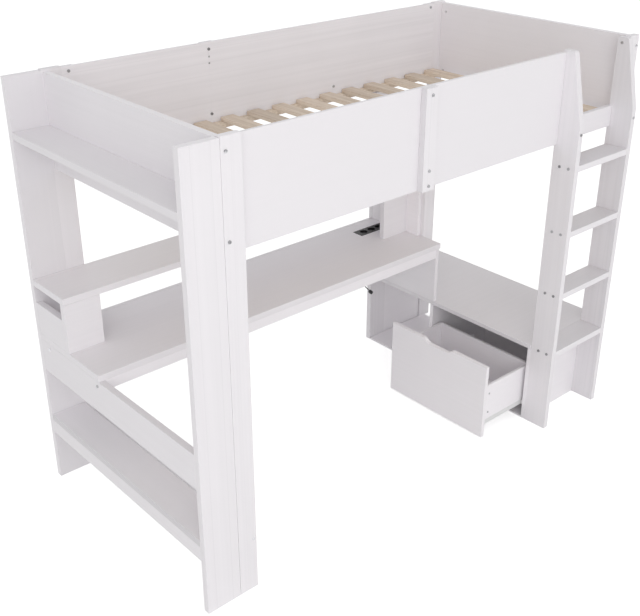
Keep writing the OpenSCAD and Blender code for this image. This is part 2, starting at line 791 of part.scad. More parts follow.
// Draws one runner for the side near the front and mirrors it to the divider's side
module both_sides() {
    for (s = [0, 1])
        translate([0, bay_mid, 0]) mirror([0, s, 0]) translate([0, -bay_mid, 0]) children();
}
// S-shaped end of the finger cut-out, as two arcs of equal radius
arc_run = (cutout_w - cutout_bottom_w) / 4;
arc_r = (arc_run * arc_run + cutout_d * cutout_d / 4) / cutout_d;
arc_angle = asin(arc_run / arc_r);
function s_curve() = concat(
    [for (k = [0:6]) let (a = arc_angle * k / 6)
        [-cutout_w / 2 + arc_r * sin(a), -arc_r * (1 - cos(a))]],
    [for (k = [5:-1:0]) let (a = arc_angle * k / 6)
        [-cutout_bottom_w / 2 - arc_r * sin(a), -cutout_d + arc_r * (1 - cos(a))]]);
function cutout_outline() = concat(
    [[-cutout_w / 2, 5]], s_curve(),
    [for (k = [12:-1:0]) [-s_curve()[k].x, s_curve()[k].y]], [[cutout_w / 2, 5]]);
module drawer_front() {
    color(white) place() difference() {
        board([drawer_x, bay_y + drawer_gap, front_z], [panel_t, front_w, front_h]);
        translate([drawer_x - 1, bay_mid, front_z + front_h]) rotate([90, 0, 90])
            linear_extrude(panel_t + 2) polygon(cutout_outline());
    }
}
side_y = bay_y + runner_gap;
groove_d = drawer_t / 2;
module drawer_sides() {
    color(inner_white) place() both_sides() difference() {
        board([box_x, side_y, drawer_side_z], [drawer_l, drawer_t, drawer_side_h]);
        board([box_x - 1, side_y + drawer_t - groove_d, drawer_side_z + drawer_bottom_up],
            [drawer_l + 2, groove_d + 1, drawer_bottom_t]);
    }
}
module drawer_back() {
    color(inner_white) place() board(
        [box_x + drawer_l - drawer_t, side_y + drawer_t,
         drawer_side_z + drawer_bottom_up + drawer_bottom_t],
        [drawer_t, drawer_w - 2 * drawer_t,
         drawer_side_h - drawer_bottom_up - drawer_bottom_t]);
}
module drawer_bottom() {
    color(inner_white) place() board(
        [box_x, side_y + drawer_t - groove_d + strip_fit, drawer_side_z + drawer_bottom_up],
        [drawer_l, drawer_w - 2 * (drawer_t - groove_d + strip_fit), drawer_bottom_t]);
}
// Fixed half: a channel on the bay's wall, open towards the drawer
channel_x = cabinet_x + panel_t + 5;
channel_z = drawer_side_z - runner_h / 2 + 6;
module channel_outline() {
    difference() {
        square([runner_gap - 2, runner_h]);
        translate([runner_t, runner_t]) square([runner_gap, runner_h - 2 * runner_t]);
    }
}
module cabinet_runners() {
    color("#ededee") place() both_sides()
        translate([channel_x, bay_y, channel_z]) rotate([90, 0, 90])
            linear_extrude(runner_l) channel_outline();
}
// Moving half: a web on the drawer's side, a foot under its edge and a bar in the channel
bar_h = runner_h - 2 * runner_t - 2 * runner_play;
bar_y = bay_y + runner_t + runner_play;
module drawer_runners() {
    color("#ededee") place() both_sides() {
        board([box_x, side_y - runner_t, drawer_side_z - runner_t],
            [drawer_l, runner_t, runner_h - 2]);
        board([box_x, side_y - runner_t, drawer_side_z - runner_t],
            [drawer_l, drawer_t, runner_t]);
        board([box_x + drawer_l - runner_bar_l, bar_y, channel_z + runner_t + runner_play],
            [runner_bar_l, side_y - bar_y, bar_h]);
    }
}
// Screws in the drawer's sides, near the front: one low and one high on each side
screw_zs = [for (share = [0.284, 0.776]) drawer_side_z + share * drawer_side_h];
module drawer_screws() {
    color(steel) place() both_sides()
        for (z = screw_zs)
            translate([box_x + 27, side_y, z]) rotate([90, 0, 0])
                cylinder(r = 4, h = 1.5, $fn = 24);
}

wing_board_front();
wing_board_back();
front_left_post();
back_left_post();
front_right_post();
back_right_post();
mid_back_post();
inner_post();
ladder_upright_left();
ladder_upright_right();
ladder_tread_1();
ladder_tread_2();
ladder_tread_3();
ladder_tread_4();
left_end_panel();
right_end_panel();
front_guard_left();
front_guard_right();
front_seam_board();
back_guard_left();
back_guard_right();
back_guard_cleats();
side_rail_front();
side_rail_back();
ladder_gap_rail();
slat_ledges();
slats();
top_shelf();
lower_shelf();
lower_shelf_apron();
lower_stretcher();
end_rail();
desktop();
desk_front_apron();
desk_rear_apron();
desk_back_rail();
desk_support_panel();
raised_shelf();
raised_shelf_supports();
raised_shelf_left_end();
raised_shelf_right_end();
power_strip_body();
power_strip_sockets();
power_lead();
lead_connector();
cabinet_top();
cabinet_front_panel();
cabinet_divider();
cabinet_rear_panel();
cabinet_end_panel();
cabinet_base();
cabinet_runners();
drawer_front();
drawer_sides();
drawer_back();
drawer_bottom();
drawer_runners();
frame_bolts();
barrel_nuts();
drawer_screws();
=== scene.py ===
# %% [markdown]
# # A cabin bed, dressed for a studio picture
# The bed is a high single bed on boards, with a desk, a raised shelf, an open shelf wing, a
# drawer cabinet and a ladder under and beside it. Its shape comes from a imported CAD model,
# which is loaded here as a fixed frame: every piece is in metres, +Z is up, and the origin
# lies on the floor under the middle of the bed. Blender adds what CAD leaves out: eased
# edges, lacquer, planed pine, dark screws, a lead, and the light to see them by.

# %% Load the frame
import json
import math

import bmesh
import bpy
import numpy as np
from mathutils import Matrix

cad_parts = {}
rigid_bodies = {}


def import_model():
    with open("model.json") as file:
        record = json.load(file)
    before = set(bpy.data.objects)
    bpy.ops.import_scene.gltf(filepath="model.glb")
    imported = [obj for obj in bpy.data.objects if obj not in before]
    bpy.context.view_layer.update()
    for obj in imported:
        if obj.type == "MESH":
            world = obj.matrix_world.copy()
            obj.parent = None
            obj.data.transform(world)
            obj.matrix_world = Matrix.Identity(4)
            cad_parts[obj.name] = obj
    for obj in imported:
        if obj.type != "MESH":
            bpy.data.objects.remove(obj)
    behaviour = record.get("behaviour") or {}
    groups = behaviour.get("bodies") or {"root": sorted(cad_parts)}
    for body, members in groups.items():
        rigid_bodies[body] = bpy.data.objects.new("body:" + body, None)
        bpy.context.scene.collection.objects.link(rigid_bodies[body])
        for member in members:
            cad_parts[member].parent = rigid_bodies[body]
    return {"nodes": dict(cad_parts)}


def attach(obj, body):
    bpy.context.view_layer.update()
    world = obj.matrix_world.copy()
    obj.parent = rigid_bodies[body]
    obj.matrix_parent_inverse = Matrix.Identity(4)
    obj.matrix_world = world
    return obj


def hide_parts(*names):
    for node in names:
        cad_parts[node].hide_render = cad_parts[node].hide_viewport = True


for leftover in list(bpy.data.objects):
    bpy.data.objects.remove(leftover)
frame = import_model()
scene = bpy.context.scene
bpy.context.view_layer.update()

# %% [markdown]
# ## The camera
# A product photograph of furniture is taken from well back with a longish lens, so that
# upright boards stay nearly upright. The bed's own edges give the rest: edges that are
# parallel on the bed meet in three vanishing points, and these fix where the camera stands,
# how it is turned and how long its lens is. The small shift puts the lens axis a little
# above the middle of the picture, as it is in the photograph.

# %% Camera
camera_data = bpy.data.cameras.new("studio_camera")
camera_data.sensor_width = 36.0
camera_data.lens = 55.08
camera_data.shift_y = -0.0148
camera_data.clip_end = 200.0
camera = bpy.data.objects.new("studio_camera", camera_data)
camera.location = (-2.3925, -2.5205, 2.357)
camera.rotation_euler = (math.radians(63.505), 0.0, math.radians(-41.54))
scene.collection.objects.link(camera)
scene.camera = camera
print("camera at", tuple(round(v, 3) for v in camera.location), "lens", camera_data.lens)

# %% [markdown]
# ## Meshes from arrays
# A surface is a grid of points: one direction runs round a section, the other along the
# piece. Once the points are one array of rows and columns, the faces follow from counting,
# and the whole mesh goes into Blender in a single call.

# %% A mesh from a grid of points
def smooth_faces(mesh):
    """Shades every face of the mesh smooth."""
    mesh.polygons.foreach_set("use_smooth", np.ones(len(mesh.polygons), bool))


def new_piece(name, points, faces, body):
    """A mesh object at the origin from an array of points and lists of corner numbers."""
    mesh = bpy.data.meshes.new(name)
    mesh.from_pydata(np.asarray(points, float).reshape(-1, 3), [], faces)
    mesh.update()
    smooth_faces(mesh)
    piece = bpy.data.objects.new(name, mesh)
    scene.collection.objects.link(piece)
    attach(piece, body)
    return piece


def grid_faces(rows, columns):
    """Quads of a grid that is closed round its columns. Corner (r, c) is number
    r * columns + c."""
    r, c = np.meshgrid(np.arange(rows - 1), np.arange(columns), indexing="ij")
    a, b = r * columns + c, r * columns + (c + 1) % columns
    return np.stack([a, b, b + columns, a + columns], -1).reshape(-1, 4).tolist()


print("a 3 by 8 tube has", len(grid_faces(3, 8)), "faces")

# %% [markdown]
# ## The lead
# A mains strip in a desk has a lead that drops from its underside. Here it is a short, thin
# black lead that hangs free beside the cabinet and ends in a small in-line connector. It is
# a tube: a circle carried along the same route as its CAD solid, smoothed with a spline so
# that it has no corners.

# %% The lead's route and its tube
LEAD_RADIUS = 0.0025  # metres
LEAD_SIDES = 12       # corners round the tube
SPAN_STEPS = 2        # points of the tube for each step of the route
lead_exit = np.array((0.5425, 0.4265, 0.582))
lead_steps = np.array([  # in mm from the exit
    (0, 0, 0), (0, 0, -11.5), (0, 0.5, -22.5), (0, 2, -33.5), (0, 3.5, -45), (0, 6, -56),
    (0, 8, -67), (0, 11, -78), (0, 14, -89), (0, 17, -99.5), (0.5, 20.5, -110.5),
    (0.5, 24, -121), (1, 27.5, -132), (1.5, 31, -142.5), (2, 35, -153), (2.5, 38.5, -163.5),
    (3.5, 42.5, -174), (4.5, 46.5, -184.5), (6, 50, -195), (7.5, 54, -205.5), (9, 57.5, -216),
    (11.5, 61.5, -226.5), (14, 64.5, -237), (18, 67.5, -247.5), (22.5, 70, -257.5),
    (28.5, 71, -266.5), (36, 71, -275), (44, 71, -283.5), (51.5, 71, -292), (59, 71, -300),
], float)
lead_route = lead_exit + lead_steps / 1000.0


def smooth_route(points, steps):
    """A smooth line through the points: each span is a cubic whose slope at a point is half
    the way from the point's left neighbour to its right one."""
    p = np.vstack([2 * points[0] - points[1], points, 2 * points[-1] - points[-2]])
    t = np.linspace(0, 1, steps, endpoint=False)[None, :, None]
    a, b, c, d = (p[i:len(p) - 3 + i, None] for i in range(4))
    line = 0.5 * (2 * b + (c - a) * t + (2 * a - 5 * b + 4 * c - d) * t ** 2
                  + (3 * b - a - 3 * c + d) * t ** 3)
    return np.vstack([line.reshape(-1, 3), points[-1]])


def tube(line, radius, sides):
    """Ring k is the line's point k plus radius * (cos a * u + sin a * v), where u and v
    stand square to the line's direction."""
    along = np.gradient(line, axis=0)
    along /= np.linalg.norm(along, axis=1, keepdims=True)
    u = np.cross(along, (0.0, 1.0, 0.0))
    u /= np.linalg.norm(u, axis=1, keepdims=True)
    v = np.cross(along, u)
    a = np.linspace(0, 2 * np.pi, sides, endpoint=False)[None, :, None]
    return line[:, None] + radius * (np.cos(a) * u[:, None] + np.sin(a) * v[:, None])


def capped(rings):
    """Faces of a closed skin over rings of points: the sides, and a lid on each end."""
    rows, sides = rings.shape[:2]
    last = (rows - 1) * sides
    lids = [list(range(sides))[::-1], list(range(last, last + sides))]
    return grid_faces(rows, sides) + lids


lead_line = smooth_route(lead_route, SPAN_STEPS)
rings = tube(lead_line, LEAD_RADIUS, LEAD_SIDES)
lead = new_piece("lead_sheath", rings, capped(rings), "bed")
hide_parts("power_lead")

# %% [markdown]
# The connector on the lead's end is a small moulding: a cone where the lead goes in, a body
# with soft corners, and two grooves for the fingers. All of it is one skin over rounded
# squares, each with its own size and place along the lead's last direction.

# %% The in-line connector
def rounded_square(half_a, half_b, power, sides):
    """Superellipse: (|x| / a) ** power + (|y| / b) ** power = 1, by angle."""
    angle = np.linspace(0, 2 * np.pi, sides, endpoint=False)
    c, s = np.cos(angle), np.sin(angle)
    return np.stack([half_a * np.sign(c) * np.abs(c) ** (2 / power),
                     half_b * np.sign(s) * np.abs(s) ** (2 / power)], -1)


CONNECTOR_SIDES = 24
# distance along the lead, half width and half thickness in mm, and squareness
CONNECTOR = [(-4.5, 2.7, 2.7, 2), (-2, 3.6, 3.6, 2), (0, 4.6, 4.6, 2.5), (0.2, 6.6, 5.8, 4),
             (1.2, 7.6, 6.6, 5), (2.6, 8, 7, 5), (5.6, 8, 7, 5), (6.4, 7.3, 6.3, 5),
             (7.6, 7.3, 6.3, 5), (8.4, 8, 7, 5), (10.2, 8, 7, 5), (11, 7.3, 6.3, 5),
             (12.2, 7.3, 6.3, 5), (13, 8, 7, 5), (18.4, 8, 7, 5), (19.6, 7.2, 6.2, 5),
             (20, 5.6, 4.6, 4)]
along = lead_route[-1] - lead_route[-2]
along /= np.linalg.norm(along)
wide = np.cross((0.0, 1.0, 0.0), along)
wide /= np.linalg.norm(wide)
thick = np.cross(along, wide)
rings = []
for distance, half_wide, half_thick, power in CONNECTOR:
    section = rounded_square(half_wide, half_thick, power, CONNECTOR_SIDES)
    ring = along * distance + section[:, :1] * wide + section[:, 1:] * thick
    rings.append(lead_route[-1] + ring / 1000.0)
rings = np.stack(rings)
connector = new_piece("connector_moulding", rings, capped(rings), "bed")
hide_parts("lead_connector")
print("connector:", len(connector.data.polygons), "faces")

# %% [markdown]
# ## Eased edges
# Lacquered boards never have knife edges: a router takes one or two millimetres off each,
# and that narrow round catches the light. CAD boards are kept sharp, so each board gets a
# twin. The twin is made from the CAD mesh itself: its loose triangles are joined, flat fans
# become one face, and the long edges get a bevel weight. The rims of the screw holes stay
# sharp, because they are too small for the cutter. One board is glued to its neighbour and
# shows a hairline there, so its twin is drawn in by less than a millimetre on that side.

# %% A board's twin with eased edges
def joined_mesh(node, snap=1e-5):
    """Corners nearer than snap become one: positions are rounded to whole snaps and
    counted once each."""
    data = frame["nodes"][node].data
    corners = np.empty(len(data.vertices) * 3, np.float32)
    data.vertices.foreach_get("co", corners)
    order = np.empty(len(data.loops), np.int32)
    data.loops.foreach_get("vertex_index", order)
    keys, where = np.unique(np.round(corners.reshape(-1, 3) / snap).astype(np.int64),
                            axis=0, return_inverse=True)
    tri = where.reshape(-1)[order].reshape(-1, 3)
    keep = (tri[:, 0] != tri[:, 1]) & (tri[:, 1] != tri[:, 2]) & (tri[:, 2] != tri[:, 0])
    return keys * snap, tri[keep]


EDGE = 0.0016              # how far a router eases an edge, in metres
SHORTEST = 0.0022          # edges up to this length, in metres, stay sharp
HAIRLINE = 0.0008          # how far the front wing board's twin stands back from its post
FLAT = math.radians(0.5)   # a bend up to this counts as none
CORNER = math.radians(25)  # a bend over this counts as an edge of the board


def eased(node, body, width=EDGE):
    """The twin of a CAD board with its long edges rounded by width. The front wing board's
    right side is drawn in, which leaves the fine dark line of a glued joint by its post."""
    points, tri = joined_mesh(node)
    if node == "wing_board_front":
        right = points[:, 0] > points[:, 0].max() - HAIRLINE
        points[right, 0] -= HAIRLINE
    piece = new_piece(node + "_eased", points, tri.tolist(), body)
    mesh = piece.data
    bm = bmesh.new()
    bm.from_mesh(mesh)
    bmesh.ops.dissolve_limit(bm, angle_limit=FLAT, verts=bm.verts, edges=bm.edges)
    bend = np.array([e.calc_face_angle(0.0) for e in bm.edges])
    length = np.array([e.calc_length() for e in bm.edges])
    bm.to_mesh(mesh)
    bm.free()
    smooth_faces(mesh)
    corner = bend > CORNER
    cut = corner & (length > SHORTEST)
    weight = mesh.attributes.new("bevel_weight_edge", "FLOAT", "EDGE")
    weight.data.foreach_set("value", cut.astype(np.float32))
    sharp = mesh.attributes.new("sharp_edge", "BOOLEAN", "EDGE")
    sharp.data.foreach_set("value", corner & ~cut)
    bevel = piece.modifiers.new("eased", "BEVEL")
    bevel.limit_method, bevel.width, bevel.segments = "WEIGHT", width, 2
    bevel.use_clamp_overlap, bevel.harden_normals = False, True
    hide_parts(node)
    return piece


print("edges eased by", EDGE * 1000, "mm")

# %% [markdown]
# ## Lacquer, grain and cloud
# The boards are white, but not evenly so. The lacquer has a soft cloudiness a hand wide. Fine
# streaks follow each board's length, and here and there a single long line shows where the
# grain has opened under the lacquer. One node group makes all three, so every white material
# shares it and only says along which axis its board runs.
#
# A single line comes from a slow noise too. Where the noise passes through one half it is
# near its middle value only along thin curves, so the distance to one half draws lines.

# %% Helpers for nodes
def socket(tree, name, kind, way, value=None):
    """A named input or output of a node group."""
    made = tree.interface.new_socket(name=name, in_out=way, socket_type=kind)
    if value is not None:
        made.default_value = value


def add(tree, kind, **settings):
    """A node with its settings in one line. A setting is a property of the node or the name
    of an input, with _ for each space, and an input takes a value or a link."""
    node = tree.nodes.new(kind)
    for key, value in settings.items():
        if hasattr(node, key):
            setattr(node, key, value)
            continue
        target = node.inputs[key.replace("_", " ")]
        if isinstance(value, bpy.types.NodeSocket):
            tree.links.new(value, target)
        else:
            target.default_value = value
    return node


def math_node(tree, operation, first, second=0.0):
    """The output of a Math node whose inputs are links or numbers."""
    node = tree.nodes.new("ShaderNodeMath")
    node.operation = operation
    for target, value in zip(node.inputs, (first, second)):
        if isinstance(value, bpy.types.NodeSocket):
            tree.links.new(value, target)
        else:
            target.default_value = value
    return node.outputs[0]


def stretched_noise(tree, vector, stretch, factor, detail):
    """A noise of the place times stretch, which is long where stretch is small."""
    place = add(tree, "ShaderNodeVectorMath", operation="MULTIPLY")
    tree.links.new(vector, place.inputs[0])
    tree.links.new(stretch, place.inputs[1])
    return add(tree, "ShaderNodeTexNoise", Vector=place.outputs[0], Scale=factor,
               Detail=detail).outputs["Fac"]


def scaled_colour(tree, colour, scale):
    """A colour times a number, both of them links."""
    node = add(tree, "ShaderNodeVectorMath", operation="SCALE", Scale=scale)
    tree.links.new(colour, node.inputs[0])
    return node.outputs[0]


helpers = socket, add, math_node, stretched_noise, scaled_colour
print("node helpers:", [helper.__name__ for helper in helpers])

# %% [markdown]
# The group itself takes the board's tone and three amounts. Roughness follows the cloud,
# because thicker lacquer shines a little more, and the height is for a Bump node outside.

# %% The lacquer group
CLOUD_SIZE = 3.0           # the cloud noise's scale, in noises a metre
LINE_SPACING = 0.16        # the slow noise's scale, as a share of the streaks' own
LINE_WIDTH = 0.012         # how near the slow noise must be to one half to be on a line
SHEEN_RANGE = 0.38, 0.52   # the lacquer's roughness, from thick to thin


def lacquer_group():
    """Colour is Tone * (1 + Cloud * c + Streaks * s - Lines * line), where c and s are noises
    from -1 to 1 and line is 1 on the opened grain. Height is the streaks less the lines."""
    tree = bpy.data.node_groups.new("lacquer", "ShaderNodeTree")
    socket(tree, "Vector", "NodeSocketVector", "INPUT")
    socket(tree, "Tone", "NodeSocketColor", "INPUT", (0.8, 0.8, 0.8, 1))
    socket(tree, "Stretch", "NodeSocketVector", "INPUT", (1.0, 1.0, 1.0))
    for name in ("Cloud", "Streaks", "Lines"):
        socket(tree, name, "NodeSocketFloat", "INPUT", 0.03)
    socket(tree, "Color", "NodeSocketColor", "OUTPUT")
    socket(tree, "Roughness", "NodeSocketFloat", "OUTPUT")
    socket(tree, "Height", "NodeSocketFloat", "OUTPUT")
    inside, outside = tree.nodes.new("NodeGroupInput"), tree.nodes.new("NodeGroupOutput")
    ins = inside.outputs
    cloud = add(tree, "ShaderNodeTexNoise", Vector=ins["Vector"], Scale=CLOUD_SIZE,
                Detail=2.0).outputs["Fac"]
    streaks = stretched_noise(tree, ins["Vector"], ins["Stretch"], factor=1.0, detail=3.0)
    slow = stretched_noise(tree, ins["Vector"], ins["Stretch"], factor=LINE_SPACING, detail=0.0)
    off_line = math_node(tree, "ABSOLUTE", math_node(tree, "SUBTRACT", slow, 0.5))
    line = add(tree, "ShaderNodeMapRange", interpolation_type="SMOOTHSTEP", Value=off_line,
               From_Max=LINE_WIDTH, To_Min=1.0, To_Max=0.0)
    total = 1.0
    for noise, amount in ((cloud, ins["Cloud"]), (streaks, ins["Streaks"])):
        centred = math_node(tree, "MULTIPLY", math_node(tree, "SUBTRACT", noise, 0.5), 2.0)
        total = math_node(tree, "ADD", math_node(tree, "MULTIPLY", centred, amount), total)
    dark = math_node(tree, "MULTIPLY", line.outputs["Result"], ins["Lines"])
    tone = scaled_colour(tree, ins["Tone"], math_node(tree, "SUBTRACT", total, dark))
    rough = add(tree, "ShaderNodeMapRange", Value=cloud, To_Min=SHEEN_RANGE[0],
                To_Max=SHEEN_RANGE[1])
    tree.links.new(tone, outside.inputs["Color"])
    tree.links.new(rough.outputs["Result"], outside.inputs["Roughness"])
    tree.links.new(math_node(tree, "SUBTRACT", streaks, dark), outside.inputs["Height"])
    return tree


LACQUER = lacquer_group()
print("lacquer group:", [s.name for s in LACQUER.interface.items_tree])

# %% [markdown]
# ## White boards, a finish for each kind
# The lines have to run along the board, so boards along the bed, boards across it and
# uprights each have a finish of their own. They share the group and differ in Stretch: a
# small number along the board and large ones across it. The amounts differ too. The front
# guards are smooth panels, the back guards show the most grain, and the front wing board is
# glued up from staves, with a fine dark joint between each two.

# %% White lacquer
WHITE = (0.885, 0.860, 0.885, 1.0)
ALONG_BED, ACROSS_BED = (0.8, 90.0, 90.0), (90.0, 0.8, 90.0)  # Stretch, for fine lines
ALONG_BED_COARSE = (0.8, 60.0, 60.0)
UPWARDS = (75.0, 75.0, 0.7)
STAVE_WIDTH = 0.066    # metres
STAVE_START = -1.0325  # where one stave joint runs, in metres along the bed
JOINT_REACH = 0.0025   # how far a joint's darkening reaches, in metres
JOINT_DARK = 0.96      # the tone in the middle of a joint


def new_material(name):
    """A material with its tree and its Principled shader."""
    material = bpy.data.materials.new(name)
    material.use_nodes = True
    return material, material.node_tree, material.node_tree.nodes["Principled BSDF"]


def lacquered(name, stretch, cloud=0.03, streaks=0.06, lines=0.04, staves=0.0):
    """The group on a Principled shader. Where staves is a width, a fine dark joint runs
    through the board at each of its multiples from STAVE_START along the bed."""
    material, tree, shader = new_material(name)
    place = add(tree, "ShaderNodeTexCoord")
    group = tree.nodes.new("ShaderNodeGroup")
    group.node_tree = LACQUER
    tree.links.new(place.outputs["Object"], group.inputs["Vector"])
    for key, value in (("Tone", WHITE), ("Stretch", stretch), ("Cloud", cloud),
                       ("Streaks", streaks), ("Lines", lines)):
        group.inputs[key].default_value = value
    # The face's shade number scales the colour: the board's tone with painted light and shade.
    scale = add(tree, "ShaderNodeAttribute", attribute_name="shade").outputs["Fac"]
    if staves:
        split = add(tree, "ShaderNodeSeparateXYZ")
        tree.links.new(place.outputs["Object"], split.inputs[0])
        from_start = math_node(tree, "SUBTRACT", split.outputs["X"], STAVE_START)
        joint = add(tree, "ShaderNodeMapRange", interpolation_type="SMOOTHSTEP",
                    Value=math_node(tree, "PINGPONG", from_start, staves / 2),
                    From_Max=JOINT_REACH, To_Min=JOINT_DARK, To_Max=1.0)
        scale = math_node(tree, "MULTIPLY", scale, joint.outputs["Result"])
    shaded = scaled_colour(tree, group.outputs["Color"], scale)
    bump = add(tree, "ShaderNodeBump", Strength=0.12, Distance=0.0004,
               Height=group.outputs["Height"])
    tree.links.new(shaded, shader.inputs["Base Color"])
    tree.links.new(group.outputs["Roughness"], shader.inputs["Roughness"])
    tree.links.new(bump.outputs["Normal"], shader.inputs["Normal"])
    return material


white_panel = lacquered("white_panel", ALONG_BED, cloud=0.008, streaks=0.006, lines=0.0)
white_along = lacquered("white_along", ALONG_BED, streaks=0.025, lines=0.0)
white_grained = lacquered("white_grained", ALONG_BED_COARSE, cloud=0.04, streaks=0.08,
                          lines=0.03)
white_across = lacquered("white_across", ACROSS_BED, streaks=0.025, lines=0.0)
white_upright = lacquered("white_upright", UPWARDS, streaks=0.05, lines=0.03)
white_calm = lacquered("white_calm", UPWARDS, cloud=0.02, streaks=0.02, lines=0.0)
white_staved = lacquered("white_staved", UPWARDS, streaks=0.035, lines=0.0,
                         staves=STAVE_WIDTH)
print("white finishes:", [m.name for m in bpy.data.materials if m.name.startswith("white")])

# %% [markdown]
# ## The boards, their tones and their painted light and shade
# Each board carries a number on every face that scales the lacquer's tone. For most faces it
# is partly the board's own tone, as no two boards come out of the spraying booth quite alike,
# and partly painted light and shade: boards deep in the cabinet and the desk's front apron are
# painted lighter, and some under the bed, such as the cabinet top, are painted darker. Where a
# board needs it, faces that look up or towards the bed's left end get another number, which is
# painted light and shade only: painted shade on the tread tops and some left faces, a painted
# highlight on the tops of the end panels, wing boards and front post. The back guards and the
# boards at the back left corner keep finer edges, because no line shows between them.

# %% Dress the boards
PANEL = ["front_guard_left", "front_guard_right"]
GRAINED = ["back_guard_left", "back_guard_right"]
ALONG = ["side_rail_front", "side_rail_back", "ladder_gap_rail", "desktop",
         "desk_front_apron", "desk_rear_apron", "desk_back_rail", "raised_shelf",
         "raised_shelf_supports", "ladder_tread_1", "ladder_tread_2", "ladder_tread_3",
         "ladder_tread_4"]
ACROSS = ["left_end_panel", "right_end_panel", "top_shelf", "lower_shelf",
          "lower_shelf_apron", "lower_stretcher", "end_rail", "desk_support_panel",
          "raised_shelf_left_end", "raised_shelf_right_end"]
STAVED = ["wing_board_front"]
CALM = ["wing_board_back", "back_left_post", "back_right_post"]
UPRIGHT = ["front_left_post", "front_right_post", "mid_back_post", "inner_post",
           "ladder_upright_left", "ladder_upright_right", "front_seam_board",
           "back_guard_cleats"]
CABINET = ["cabinet_top", "cabinet_front_panel", "cabinet_divider", "cabinet_rear_panel",
           "cabinet_end_panel", "cabinet_base"]
DRAWER = ["drawer_front", "drawer_sides", "drawer_back", "drawer_bottom"]
FINE_EDGE = {"back_guard_left": 0.0004, "back_guard_right": 0.0004,
             "wing_board_back": 0.0005, "back_left_post": 0.0005}
# Per board: partly its own tone, partly painted light and shade (lighter in the cabinet and on
# the desk apron, darker under the bed).
TONE_AND_PAINTED_LIGHT = {"desk_front_apron": 1.08, "back_left_post": 0.96, "cabinet_top": 0.91,
         "wing_board_back": 0.92, "lower_shelf_apron": 1.01, "ladder_upright_right": 0.96,
         "ladder_upright_left": 0.98, "top_shelf": 0.97, "cabinet_front_panel": 1.03,
         "raised_shelf_right_end": 1.08, "drawer_front": 1.04, "drawer_sides": 1.06,
         "cabinet_divider": 1.08, "cabinet_rear_panel": 1.08, "cabinet_end_panel": 1.08,
         "cabinet_base": 1.08}
# Top faces: painted shade on the tread tops and the end rail, painted highlight on the end
# panels, wing boards and front post.
TOP_PAINTED_LIGHT = {"ladder_tread_1": 0.86, "ladder_tread_2": 0.86, "ladder_tread_3": 0.86,
             "ladder_tread_4": 0.86, "left_end_panel": 1.07, "right_end_panel": 1.07,
             "wing_board_front": 1.07, "front_left_post": 1.07, "wing_board_back": 1.05,
             "end_rail": 0.95}
# Faces towards the left end: painted shade on the seam board, lower shelf and right upright,
# painted light on the wing back and raised shelf end.
LEFT_PAINTED_LIGHT = {"front_seam_board": 0.88, "wing_board_back": 1.04, "lower_shelf": 0.80,
              "raised_shelf_right_end": 1.11, "ladder_upright_right": 0.92}
SQUARE_ON = 0.95  # a face looks up or left where its normal has this much of that direction


def set_tone_and_painted_light(piece, side, top, left):
    """One number per face, the board's tone with painted light and shade: top where it looks
    straight up, left where it looks towards the bed's left end, side elsewhere."""
    mesh = piece.data
    normals = np.empty(len(mesh.polygons) * 3, np.float32)
    mesh.polygons.foreach_get("normal", normals)
    normals = normals.reshape(-1, 3)
    values = np.where(normals[:, 2] > SQUARE_ON, top,
                      np.where(normals[:, 0] < -SQUARE_ON, left, side))
    mesh.attributes.new("shade", "FLOAT", "FACE").data.foreach_set("value", values)


def dress(piece, material):
    """The piece gets this material and no other."""
    piece.data.materials.clear()
    piece.data.materials.append(material)


BOARDS = ((PANEL, white_panel, "bed"), (STAVED, white_staved, "bed"),
          (CALM, white_calm, "bed"), (GRAINED, white_grained, "bed"),
          (ALONG, white_along, "bed"), (ACROSS, white_across, "bed"),
          (UPRIGHT, white_upright, "bed"), (CABINET, white_along, "bed"),
          (DRAWER, white_across, "drawer"))
for names, material, body in BOARDS:
    for name in names:
        board = eased(name, body, FINE_EDGE.get(name, EDGE))
        # Each face gets the board's tone with painted light and shade.
        side = TONE_AND_PAINTED_LIGHT.get(name, 1.0)
        set_tone_and_painted_light(board, side, TOP_PAINTED_LIGHT.get(name, side), LEFT_PAINTED_LIGHT.get(name, side))
        dress(board, material)
print("eased boards:", sum(len(names) for names, material, body in BOARDS))

# %% [markdown]
# ## Pine slats
# The slats are planed pine: straight grain along each slat, a tone that differs from slat to
# slat, and soft darker growth lines. The lines are a noise that is stretched along the slat
# and fed to a colour ramp. The slat's own number, its place along the bed divided by the
# pitch and rounded down, seeds its tone. The ledges they lie on are the same timber.

# %% Planed pine
SLAT_SHIFT, SLAT_PITCH = 0.8865, 0.1279  # metres, for the slat's number
SEED_SPREAD = 40.0                       # how far apart the slats' noises are taken
GRAIN_STRETCH = (60.0, 2.0, 60.0)        # the slats lie across the bed
SLAT_TONES = 0.85, 1.08                  # the darkest and the lightest slat
DARK_WOOD = 0.32, (0.665, 0.550, 0.435, 1)   # place on the ramp, and colour
PALE_WOOD = 0.68, (0.850, 0.730, 0.605, 1)


